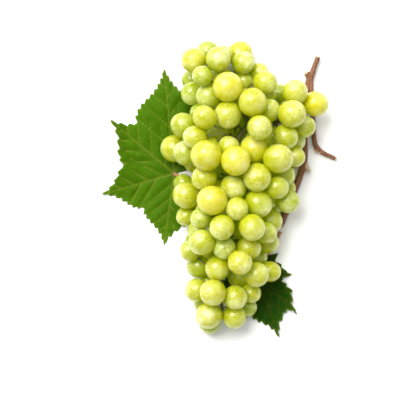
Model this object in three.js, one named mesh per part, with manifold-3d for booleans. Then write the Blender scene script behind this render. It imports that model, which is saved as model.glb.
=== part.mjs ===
// A bunch of white grapes that lies on a table, with the piece of cane it grew on and two of its leaves.
//
// Millimetres, +Z up from the table. +Y runs from the bunch's tail to its upper end and +X is to the
// right of someone who looks down on it with the tail towards them. The origin is the middle of the foot of
// the whole object's box.
//
// The bunch has one green stalk: a stem that leaves the cane, runs through the bunch as its rachis, and
// branches to every berry. Berries sit a hair's breadth off their stems. There are more of them than nodes
// to spare, so berries that press on each other are joined by threes at most.

import * as THREE from 'three';
import { mergeVertices } from 'three/addons/utils/BufferGeometryUtils.js';
import Module from 'manifold-3d';

const wasm = await Module();
wasm.setup();

// Driving dimensions -------------------------------------------------------------------------------------

const BERRY = { smallest: 12.4, largest: 17.4, stunted: 10 }; // diameters
const GAP = 0.3; // between pieces that touch
const FOOT_FLAT = 0.4; // how far a berry's own weight flattens it where it rests

// The lying bunch from its upper end to its tail: place along Y, left and right edges, height of its crest.
const STATIONS = [
  { y: 101, left: 0, right: 17, height: 26 },
  { y: 95, left: -31, right: 19, height: 36 },
  { y: 86, left: -32, right: 20, height: 42 },
  { y: 75, left: -30, right: 33, height: 47 },
  { y: 66, left: -32, right: 55, height: 50 },
  { y: 58, left: -32, right: 68, height: 51 },
  { y: 48, left: -36, right: 60, height: 54 },
  { y: 36, left: -44, right: 54, height: 57 },
  { y: 22, left: -45, right: 52, height: 58 },
  { y: 6, left: -38, right: 46, height: 58 },
  { y: -16, left: -36, right: 47, height: 56 },
  { y: -40, left: -32, right: 34, height: 51 },
  { y: -66, left: -29, right: 28, height: 44 },
  { y: -84, left: -23, right: 16, height: 36 },
  { y: -99, left: -15, right: 10, height: 22 },
];

// The berries that are seen from above, as x, y and diameter, each before those that it lies over.
const UPPER_BERRIES = [
  // crown and wing
  [0, 68, 20], [16.5, 57.5, 19], [43, 50, 18.5], [27.5, 52.5, 15], [10.5, 85, 17],
  [-23, 87, 16.5], [-6.5, 87, 16.5], [8.5, 92.5, 16.5], [-12.5, 62.5, 17], [-17, 75.5, 13.5],
  [-24, 65, 15], [-4, 75, 15], [25, 71.5, 15], [26, 64, 14.5], [11, 73, 13], [16, 79, 13],
  [-24.5, 75, 13], [45.5, 65, 16.5], [59.5, 57.5, 17], [52, 42, 15], [35.5, 65, 13],
  // shoulder
  [0, 49.5, 18], [5, 18.5, 20], [-14.5, 22, 20], [-22, 34.5, 15.5], [-15.5, 47.5, 15.5],
  [-30, 43, 16.5], [-28.5, 24, 16.5], [-36.5, 27.5, 17.5], [-6.5, 39, 14.5], [-10.5, 31, 13],
  [0.5, 28, 14], [33.5, 20, 19.5], [39, 35, 16.5], [17.5, 26.5, 18], [21, 40.5, 16.5],
  [46, 32.5, 14], [45.5, 21.5, 13.5],
  // waist
  [-10.5, -8, 20], [-28, -4.5, 19], [6, -13.5, 16], [3.5, 0.5, 17], [20.5, -10, 18],
  [19.5, 7.5, 18.5], [-16, 7, 16], [-30, 3.5, 13.5], [37.5, 9.5, 15.5], [41, -8.5, 15],
  [40, 0.5, 13],
  // tail
  [-17.5, -36, 17.5], [-4, -26, 16.5], [16, -26, 17], [-18, -20, 14], [-28, -18.5, 13],
  [29, -22, 16], [8, -49.5, 16], [-2.5, -40, 15], [14, -40, 16], [-25.5, -42.5, 13.5],
  [-7, -53.5, 16.5], [-19.5, -53, 16], [19, -58, 17], [29, -56.5, 14], [-10, -70, 18.5],
  [-21, -69, 15.5], [5, -73.5, 16.5], [16, -71, 13.5], [-12.5, -86, 17.5], [4.5, -87, 16],
  [13.5, -81, 13],
];

const TOP = STATIONS[0].y;
const TAIL = STATIONS.at(-1).y;

// The triangular grid that the other berries grow from, the columns to each side of its middle and where it
// starts. below: how far under the crest they stay. clear: how near the upper ones they sprout.
const FILL = {
  pitch: 16.4, row: 0.866, layer: 13, layers: 4, columns: 5, from: { x: 5, y: 92 }, jitter: 4.4, seed: 2,
  below: 8, clear: 0.7,
};
// How full-grown a usual berry of the grid is, from smallest to largest, and how much that varies.
const GROWTH = { usual: 0.56, varies: 1.7 };
// How the berries swell: the size they start at, the share of the rounds they grow for, the room they leave
// round the rachis, how fast they sink, and how much less an upper berry gives way.
const SWELL = { rounds: 420, from: 0.72, grown: 0.5, core: 1.6, down: 0.02, steady: 0.3 };
// Where a cross-section is widest, how much less it is at the table, and how square its shoulders are.
const SECTION = { widest: 0.34, undercut: 0.5, round: 2.3 };
const GROUPS = { most: 56, size: 3, reach: 3 }; // nodes for berries, berries in one, widest gap joined

const NECK_R = 1.8;
const CANE_R = 2.2;
const STALK = { stem: 2.4, tail: 1.1, side: 1.0, pedicel: 0.62, seat: 1.15 }; // radii

const V = (x, y, z) => new THREE.Vector3(x, y, z);

// The stalk's main limbs: the rachis from the cane to the tail, an arm up to the crown, and one in the wing.
const RACHIS = [
  V(49.5, 42, 6), V(36, 47, 12), V(14, 44, 17), V(3, 22, 20), V(0, -16, 18), V(-3, -52, 14), V(-4, -84, 9),
];
const CROWN_ARM = [V(14, 44, 17), V(8, 62, 14), V(-5, 84, 9)];

// The cane lies under the bunch's right side. Its side shoot leaves at a node near the upper cut end.
const CANE = [
  V(62.5, 91, 3.7), V(57, 76, 3.1), V(53.5, 66, 2.8), V(52.6, 44, 2.6), V(52.8, 19, 2.8), V(46, -2, 2.8),
  V(36, -26, 2.7),
];
const SIDE_SHOOT = [
  V(57, 76, 3.1), V(57.6, 62, 3.7), V(59, 47, 3.7), V(61.6, 28, 2.8), V(75, 20.5, 2.3),
];
const UPPER_STUB = [V(57, 76, 3.1), V(53.9, 80, 4.3)];
const LOWER_STUB = [V(52.8, 19, 2.8), V(56.8, 11.5, 3.1)];
const SIDE_BUD = [V(61.6, 28, 2.8), V(60.6, 25.2, 3.5)];

// Each leaf: where the petiole meets the blade, its lobes as direction in degrees and length, the petiole's
// route to the cane, and how much the blade curls up towards its middle lobe.
const LEFT_LEAF = {
  name: 'leaf_left',
  junction: V(-36.5, 10.5, 0),
  axis: 150,
  lobes: [
    { at: 62, long: 47, wide: 36 },
    { at: 95.5, long: 73, wide: 34 },
    { at: 140, long: 57, wide: 34 },
    { at: 196, long: 52, wide: 36 },
    { at: 262, long: 50, wide: 42 },
  ],
  curl: 12,
  petiole: [V(-36.5, 10.5, 1.0), V(-26, 5, 1.6), V(0, 1, 1.6), V(28, 8, 1.6), V(48.6, 17, 2.6)],
};
const LOWER_LEAF = {
  name: 'leaf_lower',
  junction: V(20, -57, 0),
  axis: -50,
  lobes: [
    { at: -155, long: 30, wide: 40 },
    { at: -108, long: 39, wide: 34 },
    { at: -71, long: 48, wide: 30 },
    { at: -46, long: 41, wide: 24 },
    { at: -5, long: 25, wide: 36 },
    { at: 40, long: 20, wide: 36 },
  ],
  curl: 6,
  petiole: [V(20, -57, 1.0), V(23, -50, 1.6), V(32, -40, 1.6), V(36.6, -29.5, 1.8)],
};
// curlReach: how far from its junction a blade has curled up in full. facetRise: how much higher than its
// curve a blade's straight facets can stand. nearby: how close to its edge a berry still feels it.
const BLADE = {
  thick: 0.8, spokes: 88, rings: 2, teeth: 44, toothDepth: 0.07, curlReach: 62, facetRise: 1.13, nearby: 0.6,
};
const PETIOLE_R = 1.0;

// Helpers ------------------------------------------------------------------------------------------------

const clamp01 = (t) => Math.min(1, Math.max(0, t));
const smooth = (t) => t * t * (3 - 2 * t);
const radians = THREE.MathUtils.degToRad;

// Evenly spread numbers from 0 to 1, the same ones on each run.
function seeded(seed) {
  let state = seed;
  return () => {
    state = (state + 0x6d2b79f5) | 0;
    let t = Math.imul(state ^ (state >>> 15), 1 | state);
    t = (t + Math.imul(t ^ (t >>> 7), 61 | t)) ^ t;
    return ((t ^ (t >>> 14)) >>> 0) / 2 ** 32;
  };
}

// The bunch's edges and height at y, between its stations.
function sectionAt(y) {
  const after = STATIONS.findIndex((s) => s.y <= y);
  if (after <= 0) return null;
  const a = STATIONS[after - 1];
  const b = STATIONS[after];
  const t = smooth((a.y - y) / (a.y - b.y));
  const between = (key) => a[key] + (b[key] - a[key]) * t;
  return { left: between('left'), right: between('right'), height: between('height') };
}

// A route as a list of short straight steps, for distances.
function stepsOf(points, count = 24) {
  return new THREE.CatmullRomCurve3(points, false, 'centripetal').getPoints(count);
}

// The point of a route that is nearest to p.
function nearestOn(steps, p) {
  const best = { point: null, away: Infinity, share: 0 };
  const line = new THREE.Line3();
  const found = new THREE.Vector3();
  for (let i = 0; i + 1 < steps.length; i += 1) {
    line.set(steps[i], steps[i + 1]);
    line.closestPointToPoint(p, true, found);
    const away = found.distanceTo(p);
    if (away < best.away) Object.assign(best, { point: found.clone(), away, share: i / (steps.length - 1) });
  }
  return best;
}

function solidOf(geometry) {
  const bare = geometry.index ? geometry.toNonIndexed() : geometry.clone();
  bare.deleteAttribute('normal');
  bare.deleteAttribute('uv');
  const merged = mergeVertices(bare, 1e-4);
  return new wasm.Manifold(
    new wasm.Mesh({
      numProp: 3,
      vertProperties: new Float32Array(merged.attributes.position.array),
      triVerts: new Uint32Array(merged.index.array),
    }),
  );
}

function geometryOf(solid) {
  const mesh = solid.getMesh();
  const geometry = new THREE.BufferGeometry();
  geometry.setAttribute('position', new THREE.BufferAttribute(new Float32Array(mesh.vertProperties), 3));
  geometry.setIndex(new THREE.BufferAttribute(new Uint32Array(mesh.triVerts), 1));
  return geometry.toNonIndexed();
}

const joined = (solids) => solids.reduce((whole, next) => whole.add(next));

// A closed tube along a route, with a radius that may change on the way.
function limb(points, radiusAt, steps, sides) {
  const curve = points.length > 2
    ? new THREE.CatmullRomCurve3(points, false, 'centripetal')
    : new THREE.LineCurve3(points[0], points[1]);
  const frames = curve.computeFrenetFrames(steps, false);
  const corners = [];
  for (let i = 0; i <= steps; i += 1) {
    const centre = curve.getPointAt(i / steps);
    const r = radiusAt(i / steps);
    for (let k = 0; k < sides; k += 1) {
      const turn = (2 * Math.PI * k) / sides;
      corners.push(centre.clone()
        .addScaledVector(frames.normals[i], r * Math.cos(turn))
        .addScaledVector(frames.binormals[i], r * Math.sin(turn)));
    }
  }
  const first = corners.push(points[0].clone()) - 1;
  const last = corners.push(points.at(-1).clone()) - 1;
  const faces = [];
  for (let k = 0; k < sides; k += 1) {
    const next = (k + 1) % sides;
    for (let i = 0; i < steps; i += 1) {
      const low = i * sides;
      const high = low + sides;
      faces.push([low + k, low + next, high + next], [low + k, high + next, high + k]);
    }
    faces.push([first, next, k], [last, steps * sides + k, steps * sides + next]);
  }
  const geometry = new THREE.BufferGeometry().setFromPoints(corners);
  geometry.setIndex(faces.flat());
  return solidOf(geometry);
}

const taper = (from, to) => (t) => from + (to - from) * t;

// Leaves -------------------------------------------------------------------------------------------------

// The share of its length that a lobe reaches at an angle off its own vein: a pointed tip on broad shoulders.
function lobeReach(offDegrees, wide) {
  const t = Math.abs(offDegrees) / wide;
  return t < 1.35 ? 1 - 0.27 * (1 - Math.exp(-t / 0.2)) - 0.16 * t ** 4 : 0;
}

// Distance from the petiole's junction to the blade's edge, in a direction.
function bladeEdge(leaf, degrees) {
  let reach = 2.5;
  for (const lobe of leaf.lobes) {
    const off = THREE.MathUtils.euclideanModulo(degrees - lobe.at + 180, 360) - 180;
    reach = Math.max(reach, lobe.long * lobeReach(off, lobe.wide));
  }
  const tooth = Math.cos(radians(degrees * BLADE.teeth));
  return reach * (1 + 0.5 * BLADE.toothDepth * (tooth - 1));
}

// How high a blade's underside stands at x, y: flat under the bunch, curling up past the junction.
function bladeLift(leaf, x, y) {
  const dx = x - leaf.junction.x;
  const dy = y - leaf.junction.y;
  const along = dx * Math.cos(radians(leaf.axis)) + dy * Math.sin(radians(leaf.axis));
  return leaf.curl * clamp01(along / BLADE.curlReach) ** 2;
}

function isOverBlade(leaf, x, y) {
  const dx = x - leaf.junction.x;
  const dy = y - leaf.junction.y;
  const edge = bladeEdge(leaf, THREE.MathUtils.radToDeg(Math.atan2(dy, dx)));
  return Math.hypot(dx, dy) < edge + BLADE.nearby;
}

// A lathed disc whose rim is pulled out to the leaf's outline and lifted by its curl, with its petiole.
function leafSolid(leaf) {
  const profile = [new THREE.Vector2(0, BLADE.thick)];
  for (let i = 1; i <= BLADE.rings; i += 1) profile.push(new THREE.Vector2(i / BLADE.rings, BLADE.thick));
  for (let i = BLADE.rings; i >= 1; i -= 1) profile.push(new THREE.Vector2(i / BLADE.rings, 0));
  profile.push(new THREE.Vector2(0, 0));
  const disc = new THREE.LatheGeometry(profile.reverse(), BLADE.spokes);
  disc.rotateX(Math.PI / 2);
  const place = disc.attributes.position;
  for (let i = 0; i < place.count; i += 1) {
    const turn = Math.atan2(place.getY(i), place.getX(i));
    const reach = Math.hypot(place.getX(i), place.getY(i)) * bladeEdge(leaf, THREE.MathUtils.radToDeg(turn));
    const x = leaf.junction.x + reach * Math.cos(turn);
    const y = leaf.junction.y + reach * Math.sin(turn);
    place.setXYZ(i, x, y, place.getZ(i) + bladeLift(leaf, x, y));
  }
  const blade = solidOf(disc);
  const petiole = limb(leaf.petiole, (t) => PETIOLE_R * (1 + 0.5 * clamp01(1 - (1 - t) * 8)), 16, 8);
  return blade.add(petiole);
}

// Berries ------------------------------------------------------------------------------------------------

const LEAVES = [LEFT_LEAF, LOWER_LEAF];

// What berries can't grow into: routes, each with the room it needs.
const OBSTACLES = [
  { steps: stepsOf(RACHIS), room: STALK.stem + SWELL.core },
  { steps: stepsOf(CROWN_ARM, 12), room: STALK.stem + 1 },
  { steps: stepsOf(CANE, 36), room: CANE_R * 1.45 + GAP },
  { steps: stepsOf(SIDE_SHOOT, 30), room: CANE_R * 1.45 + GAP },
  ...LEAVES.map((leaf) => ({ steps: stepsOf(leaf.petiole), room: PETIOLE_R * 1.6 })),
];

// Places under a berry to look for a leaf: its middle and three rings, as shares of its radius.
const FEELERS = [[0, 0]];
for (let k = 0; k < 10; k += 1) {
  const turn = (Math.PI * k) / 5;
  for (const share of [0.25, 0.5, 0.75]) FEELERS.push([share * Math.cos(turn), share * Math.sin(turn)]);
}

// The lowest that a berry's centre can be: on the table, which flattens its foot, or on a leaf.
function lowest({ centre, radius }) {
  let low = radius - FOOT_FLAT;
  for (const leaf of LEAVES) {
    for (const [dx, dy] of FEELERS) {
      const x = centre.x + dx * radius;
      const y = centre.y + dy * radius;
      if (!isOverBlade(leaf, x, y)) continue;
      const hang = radius * Math.sqrt(1 - dx * dx - dy * dy);
      low = Math.max(low, BLADE.thick + BLADE.facetRise * bladeLift(leaf, x, y) + GAP + hang);
    }
  }
  return low;
}

// The cross-section that berries of one radius have their centres in: a rounded shape, widest at its waist.
function sectionFor(y, radius, below) {
  const { left, right, height } = sectionAt(THREE.MathUtils.clamp(y, TAIL + 0.1, TOP - 0.1));
  const half = Math.max((right - left) / 2 - radius, 0.5);
  const rise = Math.max(height - below - 2 * radius, 0.5);
  return {
    middle: (left + right) / 2,
    half,
    waist: radius + SECTION.widest * rise,
    above: rise * (1 - SECTION.widest),
    under: (rise * SECTION.widest) / SECTION.undercut,
  };
}

// Where a berry's centre is in the bunch's cross-section: 1 is as far out as it can be.
function sectionPlace({ centre }, radius) {
  const { middle, half, waist, above, under } = sectionFor(centre.y, radius, FILL.below);
  const across = (centre.x - middle) / half;
  const up = (centre.z - waist) / (centre.z >= waist ? above : under);
  const out = (Math.abs(across) ** SECTION.round + Math.abs(up) ** SECTION.round) ** (1 / SECTION.round);
  return { middle, waist, out };
}

// The berries that are seen from above. Each lies as high as the crest and the ones before it let it.
function layUpperBerries() {
  const laid = [];
  for (const [x, y, diameter] of UPPER_BERRIES) {
    const radius = diameter / 2;
    const { middle, half, waist, above } = sectionFor(y, radius, 0);
    const across = Math.min(1, Math.abs(x - middle) / half);
    const centre = V(x, y, waist + above * (1 - across ** SECTION.round) ** (1 / SECTION.round));
    const berry = { full: radius, radius, centre, laid: { x, y, crest: centre.z } };
    for (const other of [...laid].sort((p, q) => q.centre.z - p.centre.z)) {
      const room = radius + other.radius + GAP;
      const aside = Math.hypot(x - other.centre.x, y - other.centre.y);
      if (aside >= room) continue;
      const drop = Math.sqrt(room * room - aside * aside);
      if (Math.abs(centre.z - other.centre.z) < drop) centre.z = other.centre.z - drop;
    }
    centre.z = Math.max(centre.z, lowest(berry));
    laid.push(berry);
  }
  return laid;
}

// Small berries on a loose grid under the upper ones, each with the size it will swell to.
function sproutBerries(upper) {
  const random = seeded(FILL.seed);
  const shake = () => (random() - 0.5) * FILL.jitter;
  const berries = [];
  const rows = Math.ceil((TOP - TAIL) / (FILL.pitch * FILL.row));
  for (let layer = 0; layer < FILL.layers; layer += 1) {
    const shift = (layer % 2) * 0.5;
    for (let row = 0; row < rows; row += 1) {
      for (let col = -FILL.columns; col <= FILL.columns; col += 1) {
        const mixed = (random() + random() + random()) / 3;
        const spread = clamp01(GROWTH.usual + (mixed - 0.5) * GROWTH.varies);
        const full = (BERRY.smallest + (BERRY.largest - BERRY.smallest) * spread) / 2;
        const centre = V(
          FILL.from.x + (col + shift + (row % 2) * 0.5) * FILL.pitch + shake(),
          FILL.from.y - (row + shift * 0.67) * FILL.pitch * FILL.row + shake(),
          full + layer * FILL.layer + 0.6 * shake(),
        );
        const berry = { full, radius: full, centre };
        const crowded = upper.some((u) => u.centre.distanceTo(centre) < FILL.clear * (u.radius + full));
        const within = Math.abs(centre.y) < TOP - full * 0.8 && sectionPlace(berry, full).out < 1.05;
        if (within && !crowded) berries.push(berry);
      }
    }
  }
  return berries;
}

// Puts a berry that was pushed past the outline back inside it.
function keepInOutline({ centre, radius }) {
  centre.y = THREE.MathUtils.clamp(centre.y, TAIL + radius, TOP - radius);
  const place = sectionPlace({ centre }, radius);
  if (place.out <= 1) return;
  const back = 0.6 * (1 - 1 / place.out);
  centre.x += (place.middle - centre.x) * back;
  centre.z += (place.waist - centre.z) * back;
}

// Puts a berry off the stems, the cane, the leaves and the table. An upper one only moves up and down.
function keepInPlace(berry) {
  const { centre, radius, laid } = berry;
  if (!laid) keepInOutline(berry);
  for (const { steps, room } of OBSTACLES) {
    const near = nearestOn(steps, centre);
    const lack = radius + room - near.away;
    if (lack > 0) centre.add(centre.clone().sub(near.point).setLength(lack));
  }
  if (laid) centre.set(laid.x, laid.y, Math.min(centre.z, laid.crest));
  centre.z = Math.max(centre.z, lowest(berry));
}

// Swells the berries to their full size while they push one another aside.
function swell(berries) {
  const push = new THREE.Vector3();
  const grownAt = SWELL.rounds * SWELL.grown;
  for (let round = 0; round < SWELL.rounds; round += 1) {
    const share = SWELL.from + (1 - SWELL.from) * clamp01(round / grownAt);
    for (const b of berries) {
      if (b.laid) continue;
      b.radius = b.full * share;
      b.centre.z -= SWELL.down;
    }
    for (let i = 0; i < berries.length; i += 1) {
      const a = berries[i];
      for (let j = i + 1; j < berries.length; j += 1) {
        const b = berries[j];
        push.subVectors(a.centre, b.centre);
        const lack = a.radius + b.radius - push.length();
        if (lack <= 0) continue;
        const share = 0.5 + (a.laid ? -SWELL.steady : 0) + (b.laid ? SWELL.steady : 0);
        push.setLength(lack);
        a.centre.addScaledVector(push, share);
        b.centre.addScaledVector(push, share - 1);
      }
      keepInPlace(a);
    }
  }
  berries.forEach(keepInPlace);
  for (const a of berries) {
    for (const { steps, room } of OBSTACLES) {
      a.radius = Math.min(a.radius, nearestOn(steps, a.centre).away - room);
    }
    for (const b of berries) {
      const lack = a === b ? 0 : a.radius + b.radius - a.centre.distanceTo(b.centre);
      if (lack > 0 && (!a.laid || b.laid)) a.radius -= lack * (b.laid && !a.laid ? 1 : 0.6);
    }
  }
}

// How far the straight way from a to b stays from every berry given.
function clearance(a, b, berries) {
  const line = new THREE.Line3(a, b);
  const near = new THREE.Vector3();
  let least = Infinity;
  for (const berry of berries) {
    line.closestPointToPoint(berry.centre, true, near);
    least = Math.min(least, near.distanceTo(berry.centre) - berry.radius);
  }
  return least;
}

// Ties berries that press on each other, nearest first, until few enough groups are left.
function groupBerries(berries) {
  let groups = berries.map((b) => ({ berries: [b], ties: [] }));
  const links = [];
  berries.forEach((a, i) => berries.slice(i + 1).forEach((b) => {
    const gap = a.centre.distanceTo(b.centre) - a.radius - b.radius;
    const others = berries.filter((c) => c !== a && c !== b);
    if (gap < GROUPS.reach && clearance(a.centre, b.centre, others) > NECK_R + GAP) links.push({ a, b, gap });
  }));
  links.sort((p, q) => p.gap - q.gap);
  for (const { a, b } of links) {
    if (groups.length <= GROUPS.most) break;
    const ga = groups.find((g) => g.berries.includes(a));
    const gb = groups.find((g) => g.berries.includes(b));
    if (ga === gb || ga.berries.length + gb.berries.length > GROUPS.size) continue;
    ga.berries.push(...gb.berries);
    ga.ties.push(...gb.ties, [a, b]);
    groups = groups.filter((g) => g !== gb);
  }
  return groups;
}

const ball = (berry, extra = 0) => solidOf(
  new THREE.IcosahedronGeometry(berry.radius + extra, 1).translate(...berry.centre.toArray()),
);

const neck = ([a, b], extra = 0) => limb([a.centre, b.centre], () => NECK_R + extra, 1, 3);

// A group's berries, joined where they press on each other, with the flats they stand on.
function groupSolid(group) {
  const table = solidOf(new THREE.BoxGeometry(400, 400, 40).translate(0, 0, -20));
  return joined([...group.berries.map((b) => ball(b)), ...group.ties.map((t) => neck(t))]).subtract(table);
}

// Stalk --------------------------------------------------------------------------------------------------

const best = (choices, worth) => choices.reduce((p, q) => (worth(q) > worth(p) ? q : p));

// The roomiest point among the berries near a group, on the side of the stalk.
function forkOf(group, towards, berries) {
  const middle = new THREE.Vector3();
  group.berries.forEach((b) => middle.addScaledVector(b.centre, 1 / group.berries.length));
  const aim = towards.clone().sub(middle).normalize();
  const choices = [];
  for (const reach of [5, 8, 11, 14]) {
    for (let k = 0; k < 40; k += 1) {
      const spot = new THREE.Vector3().setFromSphericalCoords(1, Math.acos(1 - (2 * k + 1) / 40), k * 2.4);
      if (spot.dot(aim) > -0.2) choices.push(middle.clone().addScaledVector(spot, reach));
    }
  }
  const toSeats = (p) => Math.min(...group.berries.map((b) => clearance(p, seatOf(b, p), berries)));
  return best(choices, (p) => Math.min(clearance(p, p, berries), 2) + 2 * Math.min(toSeats(p), 0.2)
    - 0.05 * p.distanceTo(towards));
}

// Where a pedicel that comes from a point meets its berry.
function seatOf(berry, from) {
  const towards = from.clone().sub(berry.centre).normalize();
  return berry.centre.clone().addScaledVector(towards, berry.radius + 1.3 * GAP);
}

function stalkSolid(berries, groups) {
  const starts = [...stepsOf(RACHIS, 40).slice(8), ...stepsOf(CROWN_ARM, 16)];
  const solids = [
    limb(RACHIS, taper(STALK.stem, STALK.tail), 14, 6),
    limb(CROWN_ARM, taper(STALK.stem * 0.8, STALK.tail), 6, 5),
  ];
  for (const group of groups) {
    const nearest = best(starts, (s) => -s.distanceTo(group.berries[0].centre));
    const fork = forkOf(group, nearest, berries);
    const from = best(starts, (s) => Math.min(clearance(s, fork, berries), 1.4) - 0.05 * s.distanceTo(fork));
    solids.push(limb([from, fork], taper(STALK.side * 1.2, STALK.side * 0.8), 1, 3));
    for (const berry of group.berries) {
      solids.push(limb([fork, seatOf(berry, fork)], taper(STALK.pedicel, STALK.seat), 1, 3));
    }
  }
  const ties = groups.flatMap((g) => g.ties);
  const grown = joined([...berries.map((b) => ball(b, GAP)), ...ties.map((t) => neck(t, GAP * 1.6))]);
  const pieces = joined(solids).subtract(grown).decompose();
  return best(pieces, (piece) => piece.volume());
}

// Cane ---------------------------------------------------------------------------------------------------

function caneSolid() {
  const nodes = [0.13, 0.62];
  const swelling = (t) => nodes.reduce((sum, n) => sum + Math.exp(-(((t - n) / 0.025) ** 2)), 0);
  return joined([
    limb(CANE, (t) => CANE_R * (0.85 + 0.3 * t + 0.28 * swelling(t)), 22, 7),
    limb(SIDE_SHOOT, (t) => CANE_R * (0.95 - 0.25 * t + 0.3 * Math.exp(-(((t - 0.75) / 0.04) ** 2))), 14, 6),
    limb(UPPER_STUB, taper(2.3, 1.9), 2, 8),
    limb(LOWER_STUB, taper(2.0, 1.2), 2, 7),
    limb(SIDE_BUD, taper(1.9, 1.1), 2, 7),
  ]);
}

// The object ---------------------------------------------------------------------------------------------

const skin = (hex, roughness) => new THREE.MeshStandardMaterial({ color: hex, roughness, metalness: 0 });
const FINISH = {
  berry: skin(0xc3cc3a, 0.35),
  stalk: skin(0x8a9a3c, 0.7),
  cane: skin(0x8c5a3c, 0.85),
  leaf: skin(0x3f7d12, 0.6),
};

function named(name, solid, finish) {
  const mesh = new THREE.Mesh(geometryOf(solid), finish);
  mesh.name = name;
  return mesh;
}

const upper = layUpperBerries();
const everyBerry = [...upper, ...sproutBerries(upper)];
swell(everyBerry);
const berries = everyBerry.filter((b) => b.radius > BERRY.stunted / 2);
const groups = groupBerries(berries);

const bunch = new THREE.Group();
bunch.name = 'bunch_of_grapes';
groups.forEach((group, i) => {
  bunch.add(named(`berries_${String(i + 1).padStart(2, '0')}`, groupSolid(group), FINISH.berry));
});
bunch.add(named('stalk', stalkSolid(berries, groups), FINISH.stalk));
bunch.add(named('cane', caneSolid(), FINISH.cane));
for (const leaf of LEAVES) bunch.add(named(leaf.name, leafSolid(leaf), FINISH.leaf));

// Puts the origin at the middle of the foot of the box.
const box = new THREE.Box3().setFromObject(bunch);
const foot = box.getCenter(new THREE.Vector3()).setZ(box.min.z);
bunch.position.copy(foot.negate());

export default bunch;
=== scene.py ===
"""A bunch of white grapes on a table, with its branched stalk, a forked piece of cane and two vine leaves.

Everything is in metres, +Z up from the table. +Y runs from the bunch's tail to its upper end.
"""

import math

import bmesh
import bpy
import numpy as np
from mathutils import Matrix, Vector, geometry, kdtree, noise


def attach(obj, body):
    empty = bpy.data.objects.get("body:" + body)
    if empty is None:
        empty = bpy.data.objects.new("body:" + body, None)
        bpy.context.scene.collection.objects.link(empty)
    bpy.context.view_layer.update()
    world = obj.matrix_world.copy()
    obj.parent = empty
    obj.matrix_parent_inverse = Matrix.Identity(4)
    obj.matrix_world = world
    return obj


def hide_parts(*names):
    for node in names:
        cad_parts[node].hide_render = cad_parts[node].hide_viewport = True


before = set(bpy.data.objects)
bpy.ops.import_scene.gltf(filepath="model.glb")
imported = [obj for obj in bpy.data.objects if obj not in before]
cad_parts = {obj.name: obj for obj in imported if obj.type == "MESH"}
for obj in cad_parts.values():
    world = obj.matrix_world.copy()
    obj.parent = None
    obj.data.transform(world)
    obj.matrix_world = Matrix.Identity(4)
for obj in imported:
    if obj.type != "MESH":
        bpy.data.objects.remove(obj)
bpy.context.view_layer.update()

bl_info = {
    "name": "Bunch of Grapes",
    "version": (1, 0, 0),
    "blender": (4, 5, 0),
    "location": "3D View > Sidebar > Grapes",
    "description": "A lying bunch of white grapes with its stalk, cane and leaves",
    "category": "Add Mesh",
}

MM = 0.001
BODY = "root"

# What rests on the table stays this far above it, and points nearer than WELD to each other are one.
TABLE_GAP = 0.00005
WELD = 2e-6

# Places in the drawing are counted from here in the frame, in mm.
DRAWING_ORIGIN = Vector((4.989, -0.906, 0.0))

# The balls in the solids, in mm: the radii that count, how near alike answers lie, how many of them make a
# ball and roughly how many are tried.
BALL_RADII = (4, 13)
FIT_GRID = 0.4
LEAST_VOTES = 8
MOST_TRIED = 60

# How far outside its berry the stalk ends at a seat, in mm, and how exactly.
SEAT_GAP = 0.39
SEAT_SLACK = 0.02

# A berry's points around it and rows down it, and its two dents' depth and width as shares of its radius.
BERRY_SEGMENTS = 28
BERRY_ROWS = 18
SEAT_DEPTH = 0.07
SEAT_WIDTH = 0.16
SCAR_DEPTH = 0.018
SCAR_WIDTH = 0.09

# What makes a berry riper: its size, its height and chance, as a mean and a spread, up to a limit.
RIPE_BY_SIZE = 0.18
RIPE_BY_HEIGHT = 0.22
RIPE_BY_CHANCE = (0.16, 0.12)
RIPE_LIMIT = 0.6

# How much a berry's three widths differ.
SHAPE_SPREAD = 0.018

# The ripest berries' places in the drawing and how ripe each is; the top one within reach is meant.
RIPEST = {(59.5, 57.5): 1.0, (5, 18.5): 1.0, (-10.5, -8): 0.95, (0, 68): 0.9, (17.5, 26.5): 0.85,
          (8.5, 92.5): 0.8, (-14.5, 22): 0.75, (-23, 87): 0.75, (16.5, 57.5): 0.65, (8, -49.5): 0.65,
          (-10, -70): 0.6, (45.5, 65): 0.6, (0, 49.5): 0.55}
RIPEST_REACH = 3
BERRY_NODES = sorted(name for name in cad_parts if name.startswith("berries_"))

# The raw wood of a cut end: how far it reaches from the middle, how deep it shows at all and unmixed, and the
# pith's radius.
CUT_REACH = 0.0035
CUT_DEPTH = 0.0009
CUT_CLEAR_DEPTH = 0.0006
PITH_RADIUS = 0.0008

# How closely the bark's furrows lie across it and along Y, and how much finer and weaker some more are.
FURROWS_ACROSS = 900
FURROWS_ALONG = 70
FINE_FURROWS = 2.3
FINE_SHARE = 0.5

# Each leaf in the drawing, in mm and degrees: where its petiole joins its blade, the bearing in which the
# blade rises and how far, its lobes' bearings, lengths and spreads, and its petiole's places.
LEAF_PLANS = {
    "leaf_left": {
        "junction": (-36.5, 10.5),
        "axis": 150,
        "curl": 12,
        "lobes": [(62, 47, 36), (95.5, 73, 34), (140, 57, 34), (196, 52, 36), (262, 50, 42)],
        "petiole": [(-36.5, 10.5, 1.0), (-26, 5, 1.6), (0, 1, 1.6), (28, 8, 1.6), (48.6, 17, 2.6)],
    },
    "leaf_lower": {
        "junction": (20, -57),
        "axis": -50,
        "curl": 6,
        "lobes": [(-155, 30, 40), (-108, 39, 34), (-71, 48, 30), (-46, 41, 24), (-5, 25, 36), (40, 20, 36)],
        "petiole": [(20, -57, 1.0), (23, -50, 1.6), (32, -40, 1.6), (36.6, -29.5, 1.8)],
    },
}

# How pale each leaf's veins are; the one under the bunch's tail has faint veins, darkened as painted shade.
VEIN_TONE_AND_PAINTED_SHADE = {"leaf_left": 0.75, "leaf_lower": 0.22}

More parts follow.
